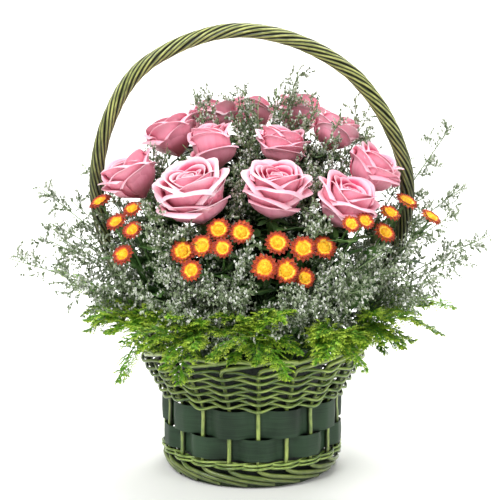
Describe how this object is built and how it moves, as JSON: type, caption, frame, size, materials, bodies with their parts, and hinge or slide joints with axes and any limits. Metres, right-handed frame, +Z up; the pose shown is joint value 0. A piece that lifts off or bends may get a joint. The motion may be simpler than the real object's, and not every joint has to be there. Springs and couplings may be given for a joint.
{
  "type": "flower basket arrangement",
  "caption": "Round green wicker basket with a tall twisted handle, filled with pink roses, button chrysanthemums, statice and feathery fern in floral foam.",
  "frame": {"origin": "centre of the underside of the base board", "axes": "+Z up, -Y to the viewer of the picture, +X to the viewer's right; the handle stands in the XZ plane"},
  "size_m": [0.452, 0.315, 0.4261],
  "materials": {
    "board_green": "matt dyed plywood",
    "rod_green": "dyed peeled willow, a little glossy",
    "strip_green": "dyed chip wood, satin",
    "handle_green": "dyed peeled willow, a little glossy",
    "liner_dark": "matt film",
    "foam_green": "matt foam",
    "rose_pink": "soft petal",
    "stem_green": "matt green stem",
    "mum_yellow": "soft petal",
    "statice_grey": "papery florets on thin twigs",
    "fern_green": "thin matt leaf"
  },
  "bodies": {
    "root": {"base_board": "board_green", "stake_frame": "rod_green", "foot_wale": "rod_green", "strip_lower": "strip_green", "strip_upper": "strip_green", "flare_weave": "rod_green", "handle": "handle_green", "liner": "liner_dark", "foam": "foam_green", "rose_01_bloom": "rose_pink", "rose_02_bloom": "rose_pink", "rose_03_bloom": "rose_pink", "rose_04_bloom": "rose_pink", "rose_05_bloom": "rose_pink", "rose_06_bloom": "rose_pink", "rose_07_bloom": "rose_pink", "rose_08_bloom": "rose_pink", "rose_09_bloom": "rose_pink", "rose_10_bloom": "rose_pink", "rose_11_bloom": "rose_pink", "rose_12_bloom": "rose_pink", "rose_01_stem": "stem_green", "rose_02_stem": "stem_green", "rose_03_stem": "stem_green", "rose_04_stem": "stem_green", "rose_05_stem": "stem_green", "rose_06_stem": "stem_green", "rose_07_stem": "stem_green", "rose_08_stem": "stem_green", "rose_09_stem": "stem_green", "rose_10_stem": "stem_green", "rose_11_stem": "stem_green", "rose_12_stem": "stem_green", "mum_spray_01": "mum_yellow", "mum_spray_02": "mum_yellow", "mum_spray_03": "mum_yellow", "mum_spray_04": "mum_yellow", "mum_spray_05": "mum_yellow", "mum_spray_06": "mum_yellow", "statice_01": "statice_grey", "statice_02": "statice_grey", "statice_03": "statice_grey", "statice_04": "statice_grey", "statice_05": "statice_grey", "statice_06": "statice_grey", "statice_07": "statice_grey", "statice_08": "statice_grey", "statice_09": "statice_grey", "fern_01": "fern_green", "fern_02": "fern_green", "fern_03": "fern_green", "fern_04": "fern_green", "fern_05": "fern_green", "fern_06": "fern_green", "fern_07": "fern_green", "fern_08": "fern_green", "fern_09": "fern_green", "fern_10": "fern_green"}
  },
  "joints": []
}
